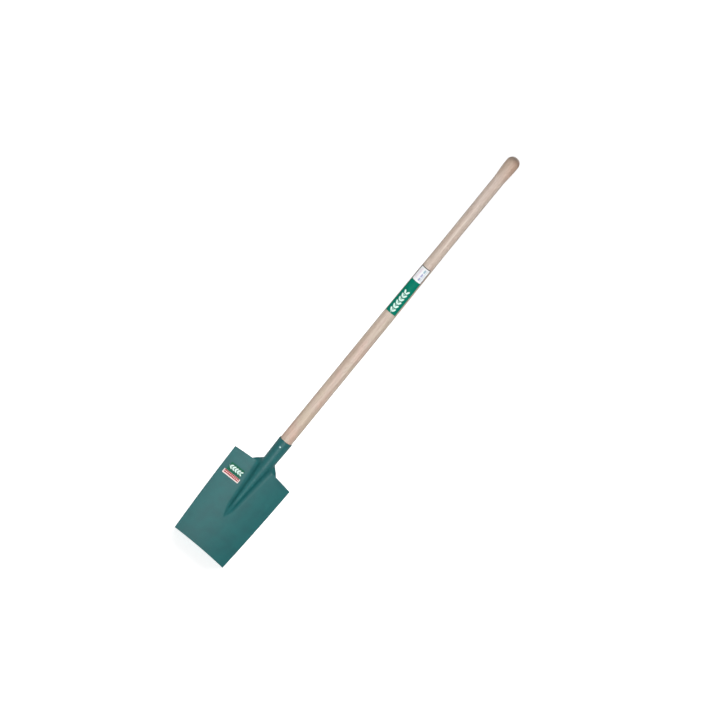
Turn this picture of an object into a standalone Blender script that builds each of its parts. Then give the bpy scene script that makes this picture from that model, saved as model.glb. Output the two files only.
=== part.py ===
"""Long handled garden spade: a pressed steel blade with a rolled socket, on a turned wooden handle.

Metres. The spade stands upright on its cutting edge, and the origin is the middle of that edge.
+Z runs up the handle's axis, X runs across the blade, and the working face looks along -Y.
"""
import math

import bmesh
import bpy
from mathutils import Matrix, Vector

# Sheet steel, and the gap left between pieces that touch
SHEET = 0.0018
CLEARANCE = 0.0003

# Blade: widths at the cutting edge and at the shoulders, how far each side bows out between them,
# the height of the shoulders' outer corners, the slope of the treads on the shoulders, and the
# radius of the dish across the blade
EDGE_WIDTH = 0.173
SHOULDER_WIDTH = 0.1956
SIDE_BOW = 0.0014
SHOULDER_HEIGHT = 0.2835
TREAD_ANGLE = math.radians(4.0)
DISH_RADIUS = 0.350

# Ridge: its length below the neck, the length of the nose over which its crest comes out of the
# blade, the height that the crest's line starts from, the crest's radius at the nose and how late it
# widens up the ridge (1 is evenly), and the radius of the ridge's feet at the nose and at the neck
RIDGE_LENGTH = 0.185
NOSE_LENGTH = 0.060
NOSE_RISE = 0.0090
NOSE_RADIUS = 0.0055
CREST_CURL = 2.0
NOSE_FOOT = 0.012
FOOT_RADIUS = 0.020

# Neck and socket: half the sheet's width at the root of the neck, measured along the sheet, the
# lengths of neck, throat and seam, how late the neck's bend tightens (1 is evenly), how much the
# radius of the feet widens up the neck, the angle that the sheet wraps at the throat, the outer
# radii at the root and at the mouth, and the gap between the sheet's edges at the back
ROOT_SPAN = 0.0482
NECK_LENGTH = 0.0255
THROAT_LENGTH = 0.0325
SEAM_LENGTH = 0.0375
NECK_CURL = 1.7
NECK_FLARE = 2.0
THROAT_ANGLE = math.radians(95.0)
NECK_RADIUS = 0.0186
MOUTH_RADIUS = 0.0208
SEAM_GAP = 0.0010

# Handle: whole length, the length inside the socket, the stretches below the top, and the radii
# where the taper starts, where it ends, under the knob and on the knob
HANDLE_LENGTH = 1.100
SOCKET_DEPTH = 0.088
TIP_CHAMFER = 0.004
TAPER_LENGTH = 0.300
GRIP_LENGTH = 0.210
KNOB_LENGTH = 0.085
KNOB_FLARE = 0.054
DOME_HEIGHT = 0.020
LOWER_RADIUS = 0.0187
NARROW_RADIUS = 0.0161
GRIP_RADIUS = 0.0166
KNOB_RADIUS = 0.0195

# Nail: the drop of its axis below the mouth, its radii, and its lengths
NAIL_DROP = 0.020
NAIL_SHANK_RADIUS = 0.0015
NAIL_HEAD_RADIUS = 0.0032
NAIL_HEAD_HEIGHT = 0.0014
NAIL_LENGTH = 0.025
NAIL_POINT = 0.004

# Printed pieces: their thickness, the label's place on the handle and the angle that it wraps, and
# the sticker's size, its distance from the blade's side, and the height of its middle
PRINT_THICKNESS = 0.0003
LABEL_RISE = 0.4625
LABEL_LENGTH = 0.159
LABEL_WRAP = math.radians(112.0)
STICKER_WIDTH = 0.0535
STICKER_HEIGHT = 0.0395
STICKER_MARGIN = 0.0137
STICKER_RISE = 0.2242

# Fineness of the surfaces: sides of round pieces, columns across flat ones, rows of each stretch
TUBE_SIDES = 32
WING_COLUMNS = 6
BLADE_ROWS = 3
NOSE_ROWS = 8
RIDGE_ROWS = 9
NECK_ROWS = 6
THROAT_ROWS = 9
SEAM_ROWS = 3
SHANK_ROWS = 2
CURVE_ROWS = 8
DOME_ROWS = 6
PRINT_COLUMNS = 10
LABEL_ROWS = 10
STICKER_ROWS = 4
NAIL_SIDES = 16
HEAD_ROWS = 4
SHARP_ANGLE = math.radians(35.0)
STEP = 1e-5


def lerp(start, end, t):
    return start + (end - start) * t


def smooth(t):
    """Ease from 0 to 1 with level ends."""
    t = min(max(t, 0.0), 1.0)
    return t * t * (3.0 - 2.0 * t)


def bow(t):
    """Parabola that is 0 at both ends and 1 in the middle."""
    return 4.0 * t * (1.0 - t)


def spread(low, high, steps):
    """Heights from just above low up to high, in equal steps."""
    return [lerp(low, high, i / steps) for i in range(1, steps + 1)]


def dome(radius, base, height, steps):
    """Profile points of a round end that starts on its rim and closes on the axis."""
    turns = [math.pi / 2 * i / steps for i in range(1, steps)]
    points = [(radius * math.cos(turn), base + height * math.sin(turn)) for turn in turns]
    return points + [(0.0, base + height)]


# The sheet is described by its middle surface, half a thickness inside the outer radii
ROOT_MIDDLE = NECK_RADIUS - SHEET / 2
MOUTH_MIDDLE = MOUTH_RADIUS - SHEET / 2
ROOT_BEND = math.acos(1.0 - ROOT_MIDDLE / (ROOT_MIDDLE + FOOT_RADIUS))
ROOT_X = ROOT_SPAN - (ROOT_MIDDLE + FOOT_RADIUS) * (ROOT_BEND - math.sin(ROOT_BEND))
ROOT_Z = SHOULDER_HEIGHT + (SHOULDER_WIDTH / 2 - ROOT_X) * math.tan(TREAD_ANGLE)
RIDGE_Z = ROOT_Z - RIDGE_LENGTH
THROAT_Z = ROOT_Z + NECK_LENGTH
SEAM_Z = THROAT_Z + THROAT_LENGTH
MOUTH_Z = SEAM_Z + SEAM_LENGTH
TIP_Z = MOUTH_Z - SOCKET_DEPTH
TOP_Z = TIP_Z + HANDLE_LENGTH
KNOB_Z = TOP_Z - KNOB_LENGTH
NARROW_Z = KNOB_Z - GRIP_LENGTH
TAPER_Z = NARROW_Z - TAPER_LENGTH
NAIL_Z = MOUTH_Z - NAIL_DROP


def crest(z):
    """Distance of the sheet's middle from the handle's axis, on the front centre line."""
    if z >= ROOT_Z:
        return lerp(ROOT_MIDDLE, MOUTH_MIDDLE, (z - ROOT_Z) / (MOUTH_Z - ROOT_Z))
    line = lerp(NOSE_RISE, ROOT_MIDDLE, max(0.0, (z - RIDGE_Z) / RIDGE_LENGTH))
    return line * smooth((z - RIDGE_Z) / NOSE_LENGTH)


def bend_radius(z):
    """Radius of the sheet's round front: the ridge's crest below the neck, the socket above it."""
    if z >= ROOT_Z:
        return crest(z)
    return lerp(NOSE_RADIUS, ROOT_MIDDLE, max(0.0, (z - RIDGE_Z) / RIDGE_LENGTH) ** CREST_CURL)


def foot_radius(z):
    """Radius of the turn back outwards beside the round front. It widens up the ridge and up the neck."""
    if z >= ROOT_Z:
        return FOOT_RADIUS * lerp(1.0, NECK_FLARE, (z - ROOT_Z) / NECK_LENGTH)
    return lerp(NOSE_FOOT, FOOT_RADIUS, max(0.0, (z - RIDGE_Z) / RIDGE_LENGTH))


def bend_angle(z):
    """Angle that the round front turns through on each side before the sheet turns out again."""
    if z >= THROAT_Z:
        return math.pi
    if z >= ROOT_Z:
        return lerp(ROOT_BEND, THROAT_ANGLE, ((z - ROOT_Z) / NECK_LENGTH) ** NECK_CURL)
    return math.acos(1.0 - crest(z) / (bend_radius(z) + foot_radius(z)))


def middle(span, z):
    """Point of the sheet's middle surface, at a distance along the sheet from its crest."""
    radius = bend_radius(z)
    foot = foot_radius(z)
    angle = bend_angle(z)
    reach = abs(span)
    if reach <= radius * angle:
        turn = reach / radius
        x = radius * math.sin(turn)
        y = radius * (1.0 - math.cos(turn)) - crest(z)
    else:
        left = max(0.0, angle - (reach - radius * angle) / foot)
        flat = max(0.0, reach - (radius + foot) * angle)
        x = (radius + foot) * math.sin(angle) - foot * math.sin(left) + flat
        y = radius * (1.0 - math.cos(angle)) - crest(z) + foot * (math.cos(left) - math.cos(angle))
    dish = DISH_RADIUS - math.sqrt(DISH_RADIUS ** 2 - x ** 2)
    y -= dish * (1.0 - smooth((z - ROOT_Z) / NECK_LENGTH))
    return Vector((math.copysign(x, span), y, z))


def sheet_point(span, z, offset):
    """Point of the sheet, offset from its middle surface towards the working face."""
    across = middle(span + STEP, z) - middle(span - STEP, z)
    up = middle(span, z + STEP) - middle(span, z - STEP)
    return middle(span, z) + across.cross(up).normalized() * offset


def top_line(x):
    """Height of the blade's top: level across the neck's root, sloping down along the treads."""
    return ROOT_Z - max(0.0, abs(x) - ROOT_X) * math.tan(TREAD_ANGLE)


def blade_point(span, z, offset):
    """Point of the blade sheet. Below the neck, its rows follow the slope of the treads."""
    if z > ROOT_Z:
        return sheet_point(span, z, offset)
    share = z / ROOT_Z
    point = sheet_point(span, share * top_line(middle(span, z).x), offset)
    point.z = share * top_line(point.x)
    return point


def side_span(z):
    """Distance along the sheet from the crest to the blade's side edge."""
    share = z / ROOT_Z
    height = share * SHOULDER_HEIGHT
    half_width = lerp(EDGE_WIDTH, SHOULDER_WIDTH, share) / 2 + SIDE_BOW * bow(share)
    angle = bend_angle(height)
    return half_width + (bend_radius(height) + foot_radius(height)) * (angle - math.sin(angle))


def neck_span(z):
    """Distance along the sheet from the crest to the sheet's edge, from the neck's root upwards."""
    radius = crest(z)
    seam_angle = math.pi - SEAM_GAP / 2 / radius
    if z < THROAT_Z:
        return lerp(ROOT_SPAN, crest(THROAT_Z) * THROAT_ANGLE, (z - ROOT_Z) / NECK_LENGTH)
    return radius * lerp(THROAT_ANGLE, seam_angle, smooth((z - THROAT_Z) / THROAT_LENGTH))


def handle_radius(z):
    """Radius of the turned handle at a height."""
    if z <= MOUTH_Z:
        return crest(z) - SHEET / 2 - CLEARANCE
    if z <= TAPER_Z:
        return lerp(handle_radius(MOUTH_Z), LOWER_RADIUS, (z - MOUTH_Z) / (TAPER_Z - MOUTH_Z))
    if z <= NARROW_Z:
        return lerp(LOWER_RADIUS, NARROW_RADIUS, smooth((z - TAPER_Z) / TAPER_LENGTH))
    if z <= KNOB_Z:
        return lerp(NARROW_RADIUS, GRIP_RADIUS, (z - NARROW_Z) / GRIP_LENGTH)
    return lerp(GRIP_RADIUS, KNOB_RADIUS, smooth((z - KNOB_Z) / KNOB_FLARE))


def handle_point(angle, z, offset):
    """Point off the handle's surface, at an angle from the front centre line."""
    radius = handle_radius(z) + offset
    return Vector((radius * math.sin(angle), -radius * math.cos(angle), z))


def linear(red, green, blue):
    """Linear colour of an 8 bit screen colour."""
    return [((c / 255 + 0.055) / 1.055) ** 2.4 for c in (red, green, blue)]


def material(name, colour, roughness, metallic=0.0):
    result = bpy.data.materials.new(name)
    result.use_nodes = True
    shader = result.node_tree.nodes["Principled BSDF"]
    shader.inputs["Base Color"].default_value = (*linear(*colour), 1.0)
    shader.inputs["Roughness"].default_value = roughness
    shader.inputs["Metallic"].default_value = metallic
    return result


def add_object(name, bm, finish):
    """Turn a finished bmesh into a smooth shaded object of one material."""
    bmesh.ops.recalc_face_normals(bm, faces=bm.faces)
    mesh = bpy.data.meshes.new(name)
    bm.to_mesh(mesh)
    bm.free()
    mesh.shade_smooth()
    mesh.set_sharp_from_angle(angle=SHARP_ANGLE)
    mesh.materials.append(finish)
    result = bpy.data.objects.new(name, mesh)
    bpy.context.collection.objects.link(result)
    return result


def plate(name, rows, place, inner, outer, finish):
    """Closed solid between two offsets of one surface.

    Each row maps column numbers to (u, v), and place(u, v, offset) gives the point. A cell is
    filled where two rows hold the same two columns.
    """
    bm = bmesh.new()
    under = [{c: bm.verts.new(place(*uv, inner)) for c, uv in row.items()} for row in rows]
    over = [{c: bm.verts.new(place(*uv, outer)) for c, uv in row.items()} for row in rows]
    edges = set()
    for r in range(len(rows) - 1):
        for c in rows[r + 1]:
            if c + 1 in rows[r + 1] and c in rows[r] and c + 1 in rows[r]:
                corners = [(r, c), (r, c + 1), (r + 1, c + 1), (r + 1, c)]
                bm.faces.new([over[i][j] for i, j in corners])
                bm.faces.new([under[i][j] for i, j in reversed(corners)])
                edges.update(zip(corners, corners[1:] + corners[:1]))
    for a, b in sorted(edges):
        if (b, a) not in edges:
            bm.faces.new([over[b[0]][b[1]], over[a[0]][a[1]], under[a[0]][a[1]], under[b[0]][b[1]]])
    bmesh.ops.triangulate(bm, faces=bm.faces, quad_method="SHORT_EDGE")
    return add_object(name, bm, finish)


def turned(name, profile, sides, finish):
    """Solid turned about Z from (radius, z) points, which start and end on the axis."""
    bm = bmesh.new()
    points = [bm.verts.new((radius, 0.0, z)) for radius, z in profile]
    edges = [bm.edges.new(pair) for pair in zip(points, points[1:])]
    bmesh.ops.spin(bm, geom=points + edges, cent=(0, 0, 0), axis=(0, 0, 1), angle=math.tau,
                   steps=sides, use_merge=True)
    bmesh.ops.remove_doubles(bm, verts=bm.verts, dist=STEP)
    return add_object(name, bm, finish)


def cut(body, cutter):
    """Cut a solid out of a body and keep the cutter as a guide that isn't rendered."""
    modifier = body.modifiers.new(cutter.name, "BOOLEAN")
    modifier.operation = "DIFFERENCE"
    modifier.solver = "EXACT"
    modifier.object = cutter
    cutter.hide_render = True
    cutter.display_type = "WIRE"


def make_blade(finish):
    """One sheet: a blade of full width up to the treads, then the narrower neck and socket."""
    half = TUBE_SIDES // 2
    nose_z = RIDGE_Z + NOSE_LENGTH
    low = [0.0] + spread(0.0, RIDGE_Z, BLADE_ROWS) + spread(RIDGE_Z, nose_z, NOSE_ROWS)
    low += spread(nose_z, ROOT_Z, RIDGE_ROWS)
    rows = []
    for z in low:
        row = {c: (ROOT_SPAN * c / half, z) for c in range(-half, half + 1)}
        for i in range(1, WING_COLUMNS + 1):
            span = lerp(ROOT_SPAN, side_span(z), i / WING_COLUMNS)
            row[half + i] = (span, z)
            row[-half - i] = (-span, z)
        rows.append(row)
    high = spread(ROOT_Z, THROAT_Z, NECK_ROWS) + spread(THROAT_Z, SEAM_Z, THROAT_ROWS)
    high += spread(SEAM_Z, MOUTH_Z, SEAM_ROWS)
    rows += [{c: (neck_span(z) * c / half, z) for c in range(-half, half + 1)} for z in high]
    return plate("blade", rows, blade_point, -SHEET / 2, SHEET / 2, finish)


def make_handle(finish):
    """Turned handle: a tip that fits the socket, a long shank, a slimmer grip and a domed knob."""
    low = TIP_Z + TIP_CHAMFER
    heights = [low] + [z for z in (ROOT_Z, THROAT_Z) if z > low]
    heights += spread(max(THROAT_Z, low), MOUTH_Z, SHANK_ROWS) + spread(MOUTH_Z, TAPER_Z, SHANK_ROWS)
    heights += spread(TAPER_Z, NARROW_Z, CURVE_ROWS) + spread(NARROW_Z, KNOB_Z, SHANK_ROWS)
    heights += spread(KNOB_Z, KNOB_Z + KNOB_FLARE, CURVE_ROWS) + [TOP_Z - DOME_HEIGHT]
    profile = [(0.0, TIP_Z), (handle_radius(low) - TIP_CHAMFER, TIP_Z)]
    profile += [(handle_radius(z), z) for z in heights]
    profile += dome(KNOB_RADIUS, TOP_Z - DOME_HEIGHT, DOME_HEIGHT, DOME_ROWS)
    return turned("handle", profile, TUBE_SIDES, finish)


def nail_seat():
    """Frame of the nail: its origin under the head, on the socket, and +Z out of the front."""
    front = crest(NAIL_Z) + SHEET / 2 + CLEARANCE
    return Matrix.Translation((0.0, -front, NAIL_Z)) @ Matrix.Rotation(math.pi / 2, 4, "X")


def make_nail(finish):
    """Nail with a domed head and a pointed shank."""
    profile = [(0.0, -NAIL_LENGTH), (NAIL_SHANK_RADIUS, NAIL_POINT - NAIL_LENGTH),
               (NAIL_SHANK_RADIUS, 0.0), (NAIL_HEAD_RADIUS, 0.0)]
    profile += dome(NAIL_HEAD_RADIUS, 0.0, NAIL_HEAD_HEIGHT, HEAD_ROWS)
    nail = turned("nail", profile, NAIL_SIDES, finish)
    nail.matrix_world = nail_seat()
    return nail


def make_nail_hole(finish):
    """Guide for the hole through the socket's front and into the wood."""
    radius = NAIL_SHANK_RADIUS + CLEARANCE
    low = -NAIL_LENGTH - CLEARANCE
    high = NAIL_HEAD_HEIGHT
    hole = turned("nail_hole", [(0.0, low), (radius, low), (radius, high), (0.0, high)],
                  NAIL_SIDES, finish)
    hole.matrix_world = nail_seat()
    return hole


def make_handle_label(finish):
    """Label wrapped round the front of the handle."""
    low = MOUTH_Z + LABEL_RISE
    heights = [low] + spread(low, low + LABEL_LENGTH, LABEL_ROWS)
    rows = [{c: (LABEL_WRAP * (c / PRINT_COLUMNS - 0.5), z) for c in range(PRINT_COLUMNS + 1)}
            for z in heights]
    return plate("handle_label", rows, handle_point, CLEARANCE, CLEARANCE + PRINT_THICKNESS, finish)


def make_blade_sticker(finish):
    """Sticker on the working face, on the left of the ridge."""
    low = STICKER_RISE - STICKER_HEIGHT / 2
    heights = [low] + spread(low, low + STICKER_HEIGHT, STICKER_ROWS)
    outer = side_span(STICKER_RISE) - STICKER_MARGIN
    rows = [{c: (STICKER_WIDTH * c / PRINT_COLUMNS - outer, z) for c in range(PRINT_COLUMNS + 1)}
            for z in heights]
    under = SHEET / 2 + CLEARANCE
    return plate("blade_sticker", rows, sheet_point, under, under + PRINT_THICKNESS, finish)


def main():
    for old in list(bpy.data.objects):
        bpy.data.objects.remove(old)
    enamel = material("green_enamel", (48, 104, 104), 0.38)
    wood = material("pale_wood", (205, 184, 164), 0.55)
    steel = material("bright_steel", (200, 202, 204), 0.30, 1.0)
    label = material("label_print", (0, 118, 98), 0.45)
    sticker = material("sticker_print", (30, 105, 85), 0.40)

    blade = make_blade(enamel)
    handle = make_handle(wood)
    make_nail(steel)
    hole = make_nail_hole(steel)
    cut(blade, hole)
    cut(handle, hole)
    make_handle_label(label)
    make_blade_sticker(sticker)


main()
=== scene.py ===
"""Looks of the long handled garden spade: blade, handle, nail, label and sticker, with floor and light."""

import math

import bmesh
import bpy
from mathutils import Euler, Matrix, Vector


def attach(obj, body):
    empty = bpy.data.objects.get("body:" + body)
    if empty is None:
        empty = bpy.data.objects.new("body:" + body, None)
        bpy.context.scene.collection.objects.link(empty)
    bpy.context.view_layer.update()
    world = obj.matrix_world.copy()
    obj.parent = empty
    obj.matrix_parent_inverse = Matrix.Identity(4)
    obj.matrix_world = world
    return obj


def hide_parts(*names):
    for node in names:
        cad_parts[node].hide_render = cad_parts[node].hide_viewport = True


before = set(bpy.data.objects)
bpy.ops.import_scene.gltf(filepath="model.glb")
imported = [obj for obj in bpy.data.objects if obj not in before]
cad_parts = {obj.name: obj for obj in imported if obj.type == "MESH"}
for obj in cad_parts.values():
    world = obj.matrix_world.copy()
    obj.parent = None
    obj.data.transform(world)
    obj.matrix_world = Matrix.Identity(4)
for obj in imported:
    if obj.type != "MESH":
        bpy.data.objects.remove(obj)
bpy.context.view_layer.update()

# Sheet steel, and the gap left between pieces that touch
SHEET = 0.0018
CLEARANCE = 0.0003

# Blade: widths, side bow, shoulders' height, slope of the treads, radius of the dish
EDGE_WIDTH = 0.173
SHOULDER_WIDTH = 0.1956
SIDE_BOW = 0.0014
SHOULDER_HEIGHT = 0.2835
TREAD_ANGLE = math.radians(4.0)
DISH_RADIUS = 0.350

# Ridge
RIDGE_LENGTH = 0.185
NOSE_LENGTH = 0.060
NOSE_RISE = 0.0090
NOSE_RADIUS = 0.0055
CREST_CURL = 2.0
NOSE_FOOT = 0.012
FOOT_RADIUS = 0.020

# Neck and socket
ROOT_SPAN = 0.0482
NECK_LENGTH = 0.0255
THROAT_LENGTH = 0.0325
SEAM_LENGTH = 0.0375
NECK_CURL = 1.7
NECK_FLARE = 2.0
THROAT_ANGLE = math.radians(95.0)
NECK_RADIUS = 0.0186
MOUTH_RADIUS = 0.0208
SEAM_GAP = 0.0010

# Handle
HANDLE_LENGTH = 1.100
SOCKET_DEPTH = 0.088
TIP_CHAMFER = 0.004
TAPER_LENGTH = 0.300
GRIP_LENGTH = 0.210
KNOB_LENGTH = 0.085
KNOB_FLARE = 0.054
DOME_HEIGHT = 0.020
LOWER_RADIUS = 0.0187
NARROW_RADIUS = 0.0161
GRIP_RADIUS = 0.0166
KNOB_RADIUS = 0.0195

# Nail
NAIL_DROP = 0.020
NAIL_SHANK_RADIUS = 0.0015
NAIL_HEAD_RADIUS = 0.0032
NAIL_HEAD_HEIGHT = 0.0014
NAIL_LENGTH = 0.025
NAIL_POINT = 0.004

# Printed pieces
PRINT_THICKNESS = 0.0003
LABEL_RISE = 0.4625
LABEL_LENGTH = 0.159
LABEL_WRAP = math.radians(112.0)
STICKER_WIDTH = 0.0535
STICKER_HEIGHT = 0.0395
STICKER_MARGIN = 0.0137
STICKER_RISE = 0.2242
STICKER_NECK = 0.0445
STICKER_BAND = 0.0137

# Print on the label: share of its length below the white field, the field's dark rim, the sprig's foot
LABEL_FIELD_SHARE = 0.708
LABEL_RIM = 0.0019
LABEL_SPRIG_FOOT = 0.0015

# Print on the sticker: the sprig's foot and its height above the band, the red strip's edges, its lozenges
STICKER_SPRIG_FOOT = 0.0004
STICKER_SPRIG_RISE = 0.0138
BAND_TOP_RIM = 0.0008
STRIP_LOW = 0.0034
STRIP_TOP_RIM = 0.0012
STRIP_END = 0.0024
LOZENGES = 10
LOZENGE_REACH = 0.30
LOZENGE_BLUR = 0.02

# Print on both: the sprig's stem and leaves, and the softness of printed edges
STEM_WIDTH = 0.0010
LEAF_FULLNESS = 1.5
LEAF_EDGE_START = -0.02
LEAF_EDGE_END = 0.04
PRINT_BLUR = 0.00012

# Wood: where the tree's heart lies from the handle's axis, and its growth rings
HEART_X = -0.062
HEART_Y = 0.034
RING_DRIFT = 0.014
RINGS_PER_METRE = 240.0

# Darker end grain at the knob's top: where it starts below the top and ends above it, and how it wanders
CROWN_START = 0.0015
CROWN_END = 0.0045
CROWN_DRIFT = 0.008

# Camera and lamps: angles in degrees, distances in metres, the lens in millimetres
CAMERA_AZIMUTH = 5.5
CAMERA_ELEVATION = 11.0
CAMERA_ROLL = -39.2467
CAMERA_DISTANCE = 33.0
CAMERA_LENS = 605.05
CAMERA_REACH = 200.0
CAMERA_TARGET_Z = 0.6874
CAMERA_TARGET_RIGHT = 0.0167
LAMP_TARGET_Z = 0.69

# Even light, and the floor's glow to the camera: weaker near the spade, so that its shadow shows
WHITE = (1.0, 1.0, 1.0, 1.0)
WORLD_LIGHT = 0.16
FLOOR_HALF_SIZE = 30.0
SHADE_GLOW = 0.70
FLOOR_GLOW = 0.90
SHADE_REACH = 1.5
GLOW_REACH = 4.0

# Fineness of the surfaces, and the rounding of the sheet's cut edges
HALF_COLUMNS = 36
WING_COLUMNS = 16
LABEL_COLUMNS = 32
STICKER_COLUMNS = 44
HANDLE_SIDES = 96
NAIL_SIDES = 40
KNOB_STEPS = 20
NAIL_STEPS = 10
RIM_ROUND = 0.0006
RIM_SEGMENTS = 3
SHARP_ANGLE = math.radians(35.0)
STEP = 1e-5


def lerp(start, end, t):
    """Value a share t of the way from start to end."""
    return start + (end - start) * t


def smooth(t):
    """Ease from 0 to 1 with level ends."""
    t = min(max(t, 0.0), 1.0)
    return t * t * (3.0 - 2.0 * t)


def bow(t):
    """Parabola that is 0 at both ends and 1 in the middle."""
    return 4.0 * t * (1.0 - t)


def heights(start, *stretches):
    """Heights from start upwards, through stretches given as their end and their number of equal steps."""
    result = [start]
    for end, steps in stretches:
        result += [lerp(start, end, i / steps) for i in range(1, steps + 1)]
        start = end
    return result


def dome(radius, base, height, steps):
    """Profile points of a round end that starts on its rim and closes on the axis."""
    turns = [math.pi / 2 * i / steps for i in range(1, steps)]
    points = [(radius * math.cos(turn), base + height * math.sin(turn)) for turn in turns]
    return points + [(0.0, base + height)]


# The sheet is described by its middle surface, half a thickness inside the outer radii
ROOT_MIDDLE = NECK_RADIUS - SHEET / 2
MOUTH_MIDDLE = MOUTH_RADIUS - SHEET / 2
ROOT_BEND = math.acos(1.0 - ROOT_MIDDLE / (ROOT_MIDDLE + FOOT_RADIUS))
ROOT_X = ROOT_SPAN - (ROOT_MIDDLE + FOOT_RADIUS) * (ROOT_BEND - math.sin(ROOT_BEND))
ROOT_Z = SHOULDER_HEIGHT + (SHOULDER_WIDTH / 2 - ROOT_X) * math.tan(TREAD_ANGLE)
RIDGE_Z = ROOT_Z - RIDGE_LENGTH
THROAT_Z = ROOT_Z + NECK_LENGTH
SEAM_Z = THROAT_Z + THROAT_LENGTH
MOUTH_Z = SEAM_Z + SEAM_LENGTH
TIP_Z = MOUTH_Z - SOCKET_DEPTH
TOP_Z = TIP_Z + HANDLE_LENGTH
KNOB_Z = TOP_Z - KNOB_LENGTH
NARROW_Z = KNOB_Z - GRIP_LENGTH
TAPER_Z = NARROW_Z - TAPER_LENGTH
NAIL_Z = MOUTH_Z - NAIL_DROP
LABEL_Z = MOUTH_Z + LABEL_RISE


def crest(z):
    """Distance of the sheet's middle from the handle's axis, on the front centre line."""
    if z >= ROOT_Z:
        return lerp(ROOT_MIDDLE, MOUTH_MIDDLE, (z - ROOT_Z) / (MOUTH_Z - ROOT_Z))
    line = lerp(NOSE_RISE, ROOT_MIDDLE, max(0.0, (z - RIDGE_Z) / RIDGE_LENGTH))
    return line * smooth((z - RIDGE_Z) / NOSE_LENGTH)


def bend_radius(z):
    """Radius of the sheet's round front: the ridge's crest below the neck, the socket above it."""
    if z >= ROOT_Z:
        return crest(z)
    return lerp(NOSE_RADIUS, ROOT_MIDDLE, max(0.0, (z - RIDGE_Z) / RIDGE_LENGTH) ** CREST_CURL)


def foot_radius(z):
    """Radius of the turn back outwards beside the round front. It widens up the ridge and up the neck."""
    if z >= ROOT_Z:
        return FOOT_RADIUS * lerp(1.0, NECK_FLARE, (z - ROOT_Z) / NECK_LENGTH)
    return lerp(NOSE_FOOT, FOOT_RADIUS, max(0.0, (z - RIDGE_Z) / RIDGE_LENGTH))


def bend_angle(z):
    """Angle that the round front turns through on each side before the sheet turns out again."""
    if z >= THROAT_Z:
        return math.pi
    if z >= ROOT_Z:
        return lerp(ROOT_BEND, THROAT_ANGLE, ((z - ROOT_Z) / NECK_LENGTH) ** NECK_CURL)
    return math.acos(1.0 - crest(z) / (bend_radius(z) + foot_radius(z)))


def middle(span, z):
    """Point of the sheet's middle surface, at a distance along the sheet from its crest."""
    radius = bend_radius(z)
    foot = foot_radius(z)
    angle = bend_angle(z)
    reach = abs(span)
    if reach <= radius * angle:
        turn = reach / radius
        x = radius * math.sin(turn)
        y = radius * (1.0 - math.cos(turn)) - crest(z)
    else:
        left = max(0.0, angle - (reach - radius * angle) / foot)
        flat = max(0.0, reach - (radius + foot) * angle)
        x = (radius + foot) * math.sin(angle) - foot * math.sin(left) + flat
        y = radius * (1.0 - math.cos(angle)) - crest(z) + foot * (math.cos(left) - math.cos(angle))
    dish = DISH_RADIUS - math.sqrt(DISH_RADIUS ** 2 - x ** 2)
    y -= dish * (1.0 - smooth((z - ROOT_Z) / NECK_LENGTH))
    return Vector((math.copysign(x, span), y, z))


def sheet_point(span, z, offset):
    """Point of the sheet, offset from its middle surface towards the working face."""
    across = middle(span + STEP, z) - middle(span - STEP, z)
    up = middle(span, z + STEP) - middle(span, z - STEP)
    return middle(span, z) + across.cross(up).normalized() * offset


def top_line(x):
    """Height of the blade's top: level across the neck's root, sloping down along the treads."""
    return ROOT_Z - max(0.0, abs(x) - ROOT_X) * math.tan(TREAD_ANGLE)


def blade_point(span, z, offset):
    """Point of the blade sheet. Below the neck, its rows follow the slope of the treads."""
    if z > ROOT_Z:
        return sheet_point(span, z, offset)
    share = z / ROOT_Z
    point = sheet_point(span, share * top_line(middle(span, z).x), offset)
    point.z = share * top_line(point.x)
    return point


def side_span(z):
    """Distance along the sheet from the crest to the blade's side edge."""
    share = z / ROOT_Z
    height = share * SHOULDER_HEIGHT
    half_width = lerp(EDGE_WIDTH, SHOULDER_WIDTH, share) / 2 + SIDE_BOW * bow(share)
    angle = bend_angle(height)
    return half_width + (bend_radius(height) + foot_radius(height)) * (angle - math.sin(angle))


def neck_span(z):
    """Distance along the sheet from the crest to the sheet's edge, from the neck's root upwards."""
    radius = crest(z)
    seam_angle = math.pi - SEAM_GAP / 2 / radius
    if z < THROAT_Z:
        return lerp(ROOT_SPAN, crest(THROAT_Z) * THROAT_ANGLE, (z - ROOT_Z) / NECK_LENGTH)
    return radius * lerp(THROAT_ANGLE, seam_angle, smooth((z - THROAT_Z) / THROAT_LENGTH))


def handle_radius(z):
    """Radius of the turned handle at a height."""
    if z <= MOUTH_Z:
        return crest(z) - SHEET / 2 - CLEARANCE
    if z <= TAPER_Z:
        return lerp(handle_radius(MOUTH_Z), LOWER_RADIUS, (z - MOUTH_Z) / (TAPER_Z - MOUTH_Z))
    if z <= NARROW_Z:
        return lerp(LOWER_RADIUS, NARROW_RADIUS, smooth((z - TAPER_Z) / TAPER_LENGTH))
    if z <= KNOB_Z:
        return lerp(NARROW_RADIUS, GRIP_RADIUS, (z - NARROW_Z) / GRIP_LENGTH)
    return lerp(GRIP_RADIUS, KNOB_RADIUS, smooth((z - KNOB_Z) / KNOB_FLARE))


def handle_point(angle, z, offset):
    """Point off the handle's surface, at an angle from the front centre line."""
    radius = handle_radius(z) + offset
    return Vector((radius * math.sin(angle), -radius * math.cos(angle), z))


def linear(red, green, blue):
    """Linear colour of an 8 bit screen colour."""
    return [((c / 255 + 0.055) / 1.055) ** 2.4 for c in (red, green, blue)] + [1.0]


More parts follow.
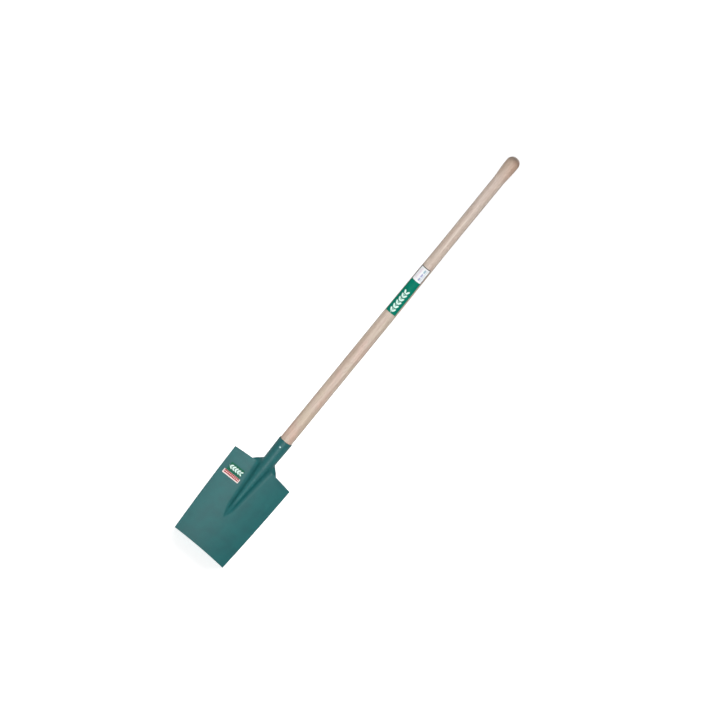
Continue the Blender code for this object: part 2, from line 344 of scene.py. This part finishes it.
# Node helpers
class Nodes:
    """Short calls for building the nodes of a material or a world. Scales are in cycles per metre."""

    def __init__(self, owner, shader):
        self.owner = owner
        owner.use_nodes = True
        self.tree = owner.node_tree
        self.shader = self.tree.nodes[shader]

    def add(self, kind, inputs=(), **settings):
        """Make a node, apply its settings, and fill its inputs with values or links."""
        node = self.tree.nodes.new(kind)
        for key, value in settings.items():
            setattr(node, key, value)
        for key, value in dict(inputs).items():
            self.put(node.inputs[key], value)
        return node

    def put(self, socket, value):
        """Link an output to a socket, or set the socket's value."""
        if isinstance(value, bpy.types.NodeSocket):
            self.tree.links.new(value, socket)
        else:
            socket.default_value = value

    def math(self, operation, a, b=0.0):
        """One step of arithmetic."""
        return self.add("ShaderNodeMath", {0: a, 1: b}, operation=operation).outputs[0]

    def object_point(self, scale=(1.0, 1.0, 1.0), place=(0.0, 0.0, 0.0)):
        """Object coordinates, scaled and moved."""
        inputs = {"Scale": scale, "Location": place}
        inputs["Vector"] = self.add("ShaderNodeTexCoord").outputs["Object"]
        return self.add("ShaderNodeMapping", inputs).outputs[0]

    def noise(self, vector, scale=1.0, detail=3.0, roughness=0.5):
        """Cloudy value around a half."""
        inputs = {"Vector": vector, "Scale": scale, "Detail": detail, "Roughness": roughness}
        return self.add("ShaderNodeTexNoise", inputs).outputs[0]

    def ramp(self, factor, *stops):
        """Colour ramp from (position, colour) stops."""
        node = self.add("ShaderNodeValToRGB", {"Fac": factor})
        elements = node.color_ramp.elements
        elements.remove(elements[1])
        elements[0].position = stops[0][0]
        for i, (position, colour) in enumerate(stops):
            element = elements.new(position) if i else elements[0]
            element.color = colour
        return node.outputs[0]

    def span(self, value, low, high, start=0.0, end=1.0):
        """Map a value from one range to another, held at both ends."""
        inputs = {0: value, 1: low, 2: high, 3: start, 4: end}
        return self.add("ShaderNodeMapRange", inputs, clamp=True).outputs[0]

    def vary(self, noise, start=0.0, end=1.0):
        """Map the range that a noise mostly stays in to another."""
        return self.span(noise, 0.3, 0.7, start, end)

    def mix(self, factor, a, b):
        """Mix two colours."""
        return self.add("ShaderNodeMix", {0: factor, 6: a, 7: b}, data_type="RGBA").outputs[2]

    def tint(self, colour, mask, share, other):
        """Mix a share of another screen colour in where a mask is 1."""
        return self.mix(self.math("MULTIPLY", mask, share), colour, linear(*other))

    def bump(self, height, strength, distance, normal=None):
        """Normal bent by a height, on top of another bump where one is given."""
        inputs = {"Height": height, "Strength": strength, "Distance": distance}
        if normal:
            inputs["Normal"] = normal
        return self.add("ShaderNodeBump", inputs).outputs[0]

    def white_rays(self):
        """1 for the rays of the camera, of gloss and of transmission, which see a white background."""
        rays = self.add("ShaderNodeLightPath").outputs
        either = self.math("MAXIMUM", rays["Is Camera Ray"], rays["Is Glossy Ray"])
        return self.math("MAXIMUM", either, rays["Is Transmission Ray"])

    def finish(self, **inputs):
        """Fill the shader's inputs. Names use _ for a space."""
        for key, value in inputs.items():
            self.put(self.shader.inputs[key.replace("_", " ")], value)
        return self.owner


class Surface(Nodes):
    """Nodes of one new material."""

    def __init__(self, name):
        super().__init__(bpy.data.materials.new(name), "Principled BSDF")


def make_enamel():
    """Satin blue-green paint on pressed steel, with a faint orange peel and cloudy gloss."""
    n = Surface("blue_green_enamel")
    point = n.object_point()
    cloud = n.noise(point, scale=26.0)
    mottle = n.noise(point, scale=160.0, detail=4.0, roughness=0.6)
    dust = n.span(n.noise(point, scale=900.0, detail=2.0), 0.70, 0.76)
    colour = n.mix(n.span(cloud, 0.35, 0.65), linear(4, 80, 82), linear(8, 90, 91))
    colour = n.tint(colour, n.vary(mottle), 0.12, (22, 96, 99))
    colour = n.tint(colour, dust, 0.25, (96, 130, 130))
    peel = n.noise(point, scale=420.0, detail=2.0)
    wave = n.noise(point, scale=60.0, detail=2.0)
    normal = n.bump(peel, strength=0.20, distance=0.0004)
    normal = n.bump(wave, strength=0.08, distance=0.0015, normal=normal)
    matt = n.math("MULTIPLY", n.math("ADD", cloud, mottle), 0.5)
    rough = n.vary(matt, 0.48, 0.53)
    return n.finish(Base_Color=colour, Roughness=rough, Normal=normal, Specular_IOR_Level=0.34)


def make_rings(n, x, y):
    """Growth rings round the tree's heart: each darkens slowly outwards and ends sharply."""
    drift = n.noise(n.object_point((6.0, 6.0, 1.1)), detail=2.0)
    x = n.math("SUBTRACT", x, HEART_X)
    y = n.math("SUBTRACT", y, HEART_Y)
    distance = n.math("SQRT", n.math("ADD", n.math("MULTIPLY", x, x), n.math("MULTIPLY", y, y)))
    distance = n.math("ADD", distance, n.math("MULTIPLY", drift, RING_DRIFT))
    age = n.math("FRACT", n.math("MULTIPLY", distance, RINGS_PER_METRE))
    early, late, full = [[level] * 3 + [1.0] for level in (0.0, 0.55, 1.0)]
    return n.ramp(age, (0.0, early), (0.70, late), (0.90, full), (1.0, early))


def make_wood():
    """Pale beech, bare and handled: growth rings, long streaks, fine fibre and short dark flecks."""
    n = Surface("pale_beech")
    split = n.add("ShaderNodeSeparateXYZ", {0: n.object_point()})
    x, y, height = split.outputs
    streak = n.noise(n.object_point((270.0, 270.0, 5.0), (2.3, 0.0, 7.7)), roughness=0.55)
    fibre = n.noise(n.object_point((900.0, 900.0, 14.0)), roughness=0.6)
    fleck = n.noise(n.object_point((620.0, 620.0, 120.0)), detail=1.0)
    patch = n.noise(n.object_point((26.0, 26.0, 11.0), (3.1, 0.7, 0.0)))
    tone = n.noise(n.object_point((60.0, 60.0, 5.0), (0.4, 5.2, 1.0)), detail=2.0)
    speck = n.span(fleck, 0.58, 0.68)

    warm, plain, straw = linear(201, 169, 153), linear(194, 175, 160), linear(194, 179, 157)
    colour = n.ramp(patch, (0.40, warm), (0.48, plain), (0.56, straw))
    colour = n.tint(colour, n.span(height, MOUTH_Z, NARROW_Z), 0.80, (209, 199, 190))
    knob = n.span(height, KNOB_Z, KNOB_Z + KNOB_FLARE)
    colour = n.tint(colour, knob, 0.85, (178, 156, 136))
    colour = n.tint(colour, n.span(tone, 0.35, 0.70), 0.40, (192, 166, 150))
    colour = n.tint(colour, n.span(streak, 0.44, 0.62), 0.55, (178, 154, 138))
    colour = n.tint(colour, n.span(streak, 0.44, 0.30), 0.55, (222, 205, 190))
    blush = n.math("MULTIPLY", n.span(x, -0.003, 0.008), knob)
    colour = n.tint(colour, blush, 0.55, (176, 138, 120))
    colour = n.tint(colour, make_rings(n, x, y), 0.22, (176, 150, 130))
    colour = n.tint(colour, n.span(fibre, 0.45, 0.75), 0.30, (172, 148, 130))
    colour = n.tint(colour, speck, 0.50, (150, 120, 98))
    crown = n.math("ADD", height, n.math("MULTIPLY", patch, CROWN_DRIFT))
    crown = n.span(crown, TOP_Z - CROWN_START, TOP_Z + CROWN_END)
    colour = n.tint(colour, crown, 0.75, (112, 90, 74))

    relief = n.math("ADD", n.math("MULTIPLY", fibre, 0.6), n.math("MULTIPLY", speck, -0.5))
    relief = n.math("ADD", relief, n.math("MULTIPLY", streak, 0.5))
    normal = n.bump(relief, strength=0.25, distance=0.0005)
    rough = n.vary(fibre, 0.50, 0.60)
    return n.finish(Base_Color=colour, Roughness=rough, Normal=normal, Specular_IOR_Level=0.6)


def make_steel():
    """Bright wire nail with the small dents of its head."""
    n = Surface("bright_steel")
    point = n.object_point()
    dents = n.noise(point, scale=900.0, detail=2.0)
    grain = n.noise(point, scale=2600.0, detail=2.0)
    colour = n.mix(n.vary(grain), linear(108, 138, 140), linear(140, 166, 168))
    normal = n.bump(dents, strength=0.30, distance=0.0003)
    rough = n.vary(dents, 0.42, 0.55)
    return n.finish(Base_Color=colour, Roughness=rough, Normal=normal, Metallic=1.0)


class Print(Surface):
    """Material of a printed piece. U runs across it and V up it, both in metres from its lower left."""

    def __init__(self, name):
        super().__init__(name)
        source = self.add("ShaderNodeUVMap", uv_map="print").outputs[0]
        self.u, self.v, _ = self.add("ShaderNodeSeparateXYZ", {0: source}).outputs

    def inside(self, value, low, high):
        """1 between two values, 0 outside them."""
        rise = self.span(value, low - PRINT_BLUR, low + PRINT_BLUR)
        fall = self.span(value, high - PRINT_BLUR, high + PRINT_BLUR)
        return self.math("SUBTRACT", rise, fall)

    def box(self, left, right, low, high):
        """1 inside a rectangle."""
        return self.math("MULTIPLY", self.inside(self.u, left, right), self.inside(self.v, low, high))

    def sprig(self, along, across, pitch, pairs, half_width, slope):
        """Stem with pairs of pointed leaves, given distances along it from its foot and across it."""
        reach = self.math("ABSOLUTE", across)
        place = self.math("SUBTRACT", along, self.math("MULTIPLY", reach, slope))
        place = self.math("DIVIDE", place, pitch)
        centre = self.math("ABSOLUTE", self.math("SUBTRACT", self.math("FRACT", place), 0.5))
        profile = self.math("DIVIDE", reach, half_width)
        room = self.math("MULTIPLY", profile, self.math("SUBTRACT", 1.0, profile))
        edge = self.math("SUBTRACT", self.math("MULTIPLY", room, LEAF_FULLNESS), centre)
        leaves = self.span(edge, LEAF_EDGE_START, LEAF_EDGE_END)
        leaves = self.math("MULTIPLY", leaves, self.inside(place, 0.0, pairs))
        stem = self.inside(reach, -1.0, STEM_WIDTH / 2)
        stem = self.math("MULTIPLY", stem, self.inside(along, 0.0, pitch * (pairs - 0.5)))
        return self.math("MAXIMUM", leaves, stem)


def make_label():
    """Varnished paper: a green field with a white sprig, and a white field with small marks."""
    n = Print("label_print")
    width = LABEL_WRAP * handle_radius(LABEL_Z + LABEL_LENGTH / 2)
    foot = LABEL_LENGTH * LABEL_FIELD_SHARE
    top = LABEL_LENGTH
    blotch = n.noise(n.object_point(), scale=240.0)
    colour = n.mix(n.vary(blotch, 0.0, 0.25), linear(0, 120, 98), linear(0, 110, 92))
    along = n.math("SUBTRACT", n.v, LABEL_SPRIG_FOOT)
    across = n.math("SUBTRACT", n.u, width / 2)
    sprig = n.sprig(along, across, pitch=0.0122, pairs=6, half_width=0.0084, slope=0.9)
    colour = n.mix(sprig, colour, linear(214, 240, 230))

    colour = n.mix(n.box(-1.0, 1.0, foot, top), colour, linear(44, 50, 46))
    paper = n.box(LABEL_RIM, width - LABEL_RIM, foot, top - LABEL_RIM)
    colour = n.mix(paper, colour, linear(236, 238, 240))
    # Each mark: left, right, low and high as shares of the white field, then its screen colour
    marks = [
        (0.25, 0.38, 0.16, 0.84, (232, 220, 229)),
        (0.54, 0.68, 0.12, 0.30, (160, 168, 200)),
        (0.54, 0.68, 0.36, 0.58, (168, 170, 206)),
        (0.54, 0.68, 0.64, 0.86, (158, 186, 200)),
        (0.74, 0.77, 0.12, 0.86, (176, 196, 206)),
    ]
    for left, right, low, high, screen in marks:
        mask = n.box(width * left, width * right, lerp(foot, top, low), lerp(foot, top, high))
        colour = n.mix(mask, colour, linear(*screen))
    fibre = n.noise(n.object_point(), scale=1400.0, detail=2.0)
    normal = n.bump(fibre, strength=0.08, distance=0.0002)
    rough = n.vary(blotch, 0.48, 0.58)
    return n.finish(Base_Color=colour, Roughness=rough, Normal=normal, Specular_IOR_Level=0.06)


def make_sticker():
    """Varnished sticker: a green block with a white sprig over a pale band with a red strip of lozenges."""
    n = Print("sticker_print")
    blotch = n.noise(n.object_point(), scale=300.0)
    colour = n.mix(n.vary(blotch, 0.0, 0.3), linear(24, 98, 76), linear(16, 88, 68))
    along = n.math("SUBTRACT", n.u, (STICKER_WIDTH - STICKER_NECK) / 2 + STICKER_SPRIG_FOOT)
    across = n.math("SUBTRACT", n.v, STICKER_BAND + STICKER_SPRIG_RISE)
    sprig = n.sprig(along, across, pitch=0.0081, pairs=5, half_width=0.0072, slope=0.8)
    colour = n.mix(sprig, colour, linear(222, 244, 236))

    pale = linear(238, 224, 220)
    low, high = STRIP_LOW, STICKER_BAND - STRIP_TOP_RIM
    strip = n.box(STRIP_END, STICKER_WIDTH - STRIP_END, low, high)
    colour = n.mix(n.box(-1.0, 1.0, -1.0, STICKER_BAND - BAND_TOP_RIM), colour, pale)
    colour = n.mix(strip, colour, linear(168, 44, 50))
    pitch = (STICKER_WIDTH - 2 * STRIP_END) / LOZENGES
    place = n.math("FRACT", n.math("DIVIDE", n.math("SUBTRACT", n.u, STRIP_END), pitch))
    aside = n.math("ABSOLUTE", n.math("SUBTRACT", place, 0.5))
    above = n.math("DIVIDE", n.math("SUBTRACT", n.v, (low + high) / 2), high - low)
    lozenge = n.math("ADD", aside, n.math("ABSOLUTE", above))
    lozenge = n.span(lozenge, LOZENGE_REACH + LOZENGE_BLUR, LOZENGE_REACH - LOZENGE_BLUR)
    colour = n.mix(n.math("MULTIPLY", lozenge, strip), colour, pale)
    normal = n.bump(blotch, strength=0.05, distance=0.0002)
    rough = n.vary(blotch, 0.45, 0.55)
    return n.finish(Base_Color=colour, Roughness=rough, Normal=normal, Specular_IOR_Level=0.10)


# Mesh builders
def add_object(name, bm, finish, node):
    """Turn a bmesh into a smooth shaded object that stands for a CAD node."""
    bmesh.ops.recalc_face_normals(bm, faces=bm.faces)
    mesh = bpy.data.meshes.new(name)
    bm.to_mesh(mesh)
    bm.free()
    mesh.shade_smooth()
    mesh.set_sharp_from_angle(angle=SHARP_ANGLE)
    mesh.materials.append(finish)
    result = bpy.data.objects.new(name, mesh)
    bpy.context.collection.objects.link(result)
    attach(result, "root")
    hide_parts(node)
    return result


def plate(rows, place, inner, outer, print_place=None):
    """Closed solid between two offsets of one surface.

    Each row maps column numbers to (u, v), and place(u, v, offset) gives the point. A cell is
    filled where two rows hold the same two columns. print_place(u, v) gives the print's UV.
    """
    bm = bmesh.new()
    layer = bm.loops.layers.uv.new("print") if print_place else None
    under = [{c: bm.verts.new(place(*uv, inner)) for c, uv in row.items()} for row in rows]
    over = [{c: bm.verts.new(place(*uv, outer)) for c, uv in row.items()} for row in rows]
    spots = {}
    for row, low, high in zip(rows, under, over):
        for c, uv in row.items():
            spots[low[c]] = spots[high[c]] = uv
    edges = set()
    for r in range(len(rows) - 1):
        for c in rows[r + 1]:
            if c + 1 in rows[r + 1] and c in rows[r] and c + 1 in rows[r]:
                corners = [(r, c), (r, c + 1), (r + 1, c + 1), (r + 1, c)]
                bm.faces.new([over[i][j] for i, j in corners])
                bm.faces.new([under[i][j] for i, j in reversed(corners)])
                edges.update(zip(corners, corners[1:] + corners[:1]))
    for a, b in sorted(edges):
        if (b, a) not in edges:
            bm.faces.new([over[b[0]][b[1]], over[a[0]][a[1]], under[a[0]][a[1]], under[b[0]][b[1]]])
    if layer:
        for face in bm.faces:
            for loop in face.loops:
                loop[layer].uv = print_place(*spots[loop.vert])
    return bm


def turned(profile, sides):
    """Solid turned about Z from (radius, z) points, which start and end on the axis."""
    bm = bmesh.new()
    turns = [math.tau * i / sides for i in range(sides)]
    rings = []
    for radius, z in profile:
        around = turns if radius else [0.0]
        ring = [bm.verts.new((radius * math.cos(turn), radius * math.sin(turn), z)) for turn in around]
        rings.append(ring if radius else ring * sides)
    for low, high in zip(rings, rings[1:]):
        for i in range(sides):
            corners = [low[i - 1], low[i], high[i], high[i - 1]]
            bm.faces.new(list(dict.fromkeys(corners)))
    return bm


def round_rim(piece):
    """Round the cut edges of a sheet."""
    bevel = piece.modifiers.new("round", "BEVEL")
    bevel.width = RIM_ROUND
    bevel.segments = RIM_SEGMENTS
    bevel.limit_method = "ANGLE"
    bevel.angle_limit = SHARP_ANGLE
    bevel.harden_normals = True


def make_blade(finish):
    """One sheet: a blade of full width up to the treads, then the narrower neck and socket."""
    half = HALF_COLUMNS
    rows = []
    for z in heights(0.0, (RIDGE_Z, 16), (RIDGE_Z + NOSE_LENGTH, 34), (ROOT_Z, 40)):
        row = {c: (ROOT_SPAN * c / half, z) for c in range(-half, half + 1)}
        for i in range(1, WING_COLUMNS + 1):
            span = lerp(ROOT_SPAN, side_span(z), i / WING_COLUMNS)
            row[half + i] = (span, z)
            row[-half - i] = (-span, z)
        rows.append(row)
    for z in heights(ROOT_Z, (THROAT_Z, 22), (SEAM_Z, 24), (MOUTH_Z, 12))[1:]:
        rows.append({c: (neck_span(z) * c / half, z) for c in range(-half, half + 1)})
    bm = plate(rows, blade_point, -SHEET / 2, SHEET / 2)
    round_rim(add_object("spade_blade", bm, finish, "blade"))


def make_handle(finish):
    """Turned handle: a tip that fits the socket, a long shank, a slimmer grip and a domed knob."""
    low, top = TIP_Z + TIP_CHAMFER, TOP_Z - DOME_HEIGHT
    levels = heights(low, (THROAT_Z, 6), (MOUTH_Z, 12), (TAPER_Z, 24), (NARROW_Z, 24), (KNOB_Z, 12),
                     (KNOB_Z + KNOB_FLARE, 24), (top, 1))
    profile = [(0.0, TIP_Z), (handle_radius(low) - TIP_CHAMFER, TIP_Z)]
    profile += [(handle_radius(z), z) for z in levels]
    profile += dome(KNOB_RADIUS, top, DOME_HEIGHT, KNOB_STEPS)
    add_object("spade_handle", turned(profile, HANDLE_SIDES), finish, "handle")


def make_nail(finish):
    """Nail with a domed head and a pointed shank, driven through the socket's front."""
    profile = [(0.0, -NAIL_LENGTH), (NAIL_SHANK_RADIUS, NAIL_POINT - NAIL_LENGTH),
               (NAIL_SHANK_RADIUS, 0.0), (NAIL_HEAD_RADIUS, 0.0)]
    profile += dome(NAIL_HEAD_RADIUS, 0.0, NAIL_HEAD_HEIGHT, NAIL_STEPS)
    bm = turned(profile, NAIL_SIDES)
    front = crest(NAIL_Z) + SHEET / 2 + CLEARANCE
    bm.transform(Matrix.Translation((0.0, -front, NAIL_Z)) @ Matrix.Rotation(math.pi / 2, 4, "X"))
    add_object("socket_nail", bm, finish, "nail")


def make_handle_label(finish):
    """Label wrapped round the front of the handle."""
    columns = LABEL_COLUMNS
    levels = heights(LABEL_Z, (LABEL_Z + LABEL_LENGTH, 40))
    rows = [{c: (LABEL_WRAP * (c / columns - 0.5), z) for c in range(columns + 1)} for z in levels]
    radius = handle_radius(LABEL_Z + LABEL_LENGTH / 2)

    def print_place(angle, z):
        return ((angle + LABEL_WRAP / 2) * radius, z - LABEL_Z)

    bm = plate(rows, handle_point, CLEARANCE, CLEARANCE + PRINT_THICKNESS, print_place)
    add_object("handle_label_print", bm, finish, "handle_label")


def make_blade_sticker(finish):
    """Sticker on the working face: a wide band at its foot and a narrower block above it."""
    columns = STICKER_COLUMNS
    low = STICKER_RISE - STICKER_HEIGHT / 2
    neck = low + STICKER_BAND
    outer = side_span(STICKER_RISE) - STICKER_MARGIN
    trim = round(columns * (STICKER_WIDTH - STICKER_NECK) / 2 / STICKER_WIDTH)
    rows = []
    for z in heights(low, (neck, 8), (low + STICKER_HEIGHT, 12)):
        narrow = trim if z > neck + STEP else 0
        held = range(narrow, columns + 1 - narrow)
        rows.append({c: (STICKER_WIDTH * c / columns - outer, z) for c in held})

    def print_place(span, z):
        return (span + outer, z - low)

    under = SHEET / 2 + CLEARANCE
    bm = plate(rows, sheet_point, under, under + PRINT_THICKNESS, print_place)
    add_object("blade_sticker_print", bm, finish, "blade_sticker")


# Stage
def make_floor():
    """Plain pale floor that reads white to the camera and keeps the spade's shadow."""
    bm = bmesh.new()
    bmesh.ops.create_grid(bm, x_segments=1, y_segments=1, size=FLOOR_HALF_SIZE)
    mesh = bpy.data.meshes.new("floor")
    bm.to_mesh(mesh)
    bm.free()
    floor = bpy.data.objects.new("floor", mesh)
    bpy.context.collection.objects.link(floor)
    n = Surface("pale_floor")
    point = n.object_point()
    shade = n.noise(point, scale=3.0, detail=2.0)
    colour = n.mix(n.vary(shade), linear(236, 236, 236), linear(240, 240, 240))
    distance = n.add("ShaderNodeVectorMath", {0: point}, operation="LENGTH").outputs["Value"]
    glow = n.span(distance, SHADE_REACH, GLOW_REACH, SHADE_GLOW, FLOOR_GLOW)
    glow = n.math("MULTIPLY", n.white_rays(), glow)
    n.finish(Base_Color=colour, Roughness=0.9, Emission_Color=WHITE, Emission_Strength=glow)
    mesh.materials.append(n.owner)


def make_world():
    """White surroundings to the eye and to gloss, and a soft even light on everything."""
    world = bpy.data.worlds.new("studio")
    bpy.context.scene.world = world
    n = Nodes(world, "Background")
    n.finish(Color=WHITE, Strength=n.span(n.white_rays(), 0.0, 1.0, WORLD_LIGHT, 1.0))


def view_axes(azimuth, elevation):
    """Unit vectors of a view in degrees from the front: back towards the eye, right and up."""
    back = Vector((0.0, -1.0, 0.0))
    back.rotate(Euler((-math.radians(elevation), 0.0, math.radians(azimuth))))
    right = Vector((math.cos(math.radians(azimuth)), math.sin(math.radians(azimuth)), 0.0))
    return back, right, back.cross(right)


def place(thing, eye, right, up, back):
    """Put a lamp or a camera at a point, with its own axes along three directions."""
    bpy.context.collection.objects.link(thing)
    thing.matrix_world = Matrix.Translation(eye) @ Matrix((right, up, back)).transposed().to_4x4()


def add_lamp(name, azimuth, elevation, distance, width, height, power):
    """Soft panel lamp that looks at the spade's middle."""
    back, right, up = view_axes(azimuth, elevation)
    data = bpy.data.lights.new(name, "AREA")
    data.shape = "RECTANGLE"
    data.size = width
    data.size_y = height
    data.energy = power
    lamp = bpy.data.objects.new(name, data)
    place(lamp, Vector((0.0, 0.0, LAMP_TARGET_Z)) + back * distance, right, up, back)
    lamp.visible_camera = False


def make_camera():
    """Camera at the photograph's view: nearly from the front, a little above, from far away, and rolled."""
    back, right, up = view_axes(CAMERA_AZIMUTH, CAMERA_ELEVATION)
    target = Vector((0.0, 0.0, CAMERA_TARGET_Z)) + right * CAMERA_TARGET_RIGHT
    roll = math.radians(CAMERA_ROLL)
    rolled_right = right * math.cos(roll) - up * math.sin(roll)
    rolled_up = right * math.sin(roll) + up * math.cos(roll)
    data = bpy.data.cameras.new("camera")
    data.lens = CAMERA_LENS
    data.clip_end = CAMERA_REACH
    camera = bpy.data.objects.new("camera", data)
    place(camera, target + back * CAMERA_DISTANCE, rolled_right, rolled_up, back)
    bpy.context.scene.camera = camera


make_camera()
make_world()
make_floor()
add_lamp("key", azimuth=8.0, elevation=-6.0, distance=3.6, width=1.4, height=0.6, power=99.5)
add_lamp("left_fill", azimuth=-80.0, elevation=10.0, distance=3.6, width=2.0, height=2.0, power=6.0)
add_lamp("right_fill", azimuth=65.0, elevation=10.0, distance=3.6, width=2.0, height=2.0, power=8.0)
add_lamp("back", azimuth=183.0, elevation=45.0, distance=4.0, width=2.0, height=2.0, power=90.0)
make_blade(make_enamel())
make_handle(make_wood())
make_nail(make_steel())
make_handle_label(make_label())
make_blade_sticker(make_sticker())

bpy.context.scene.view_settings.view_transform = "Standard"
bpy.context.view_layer.update()
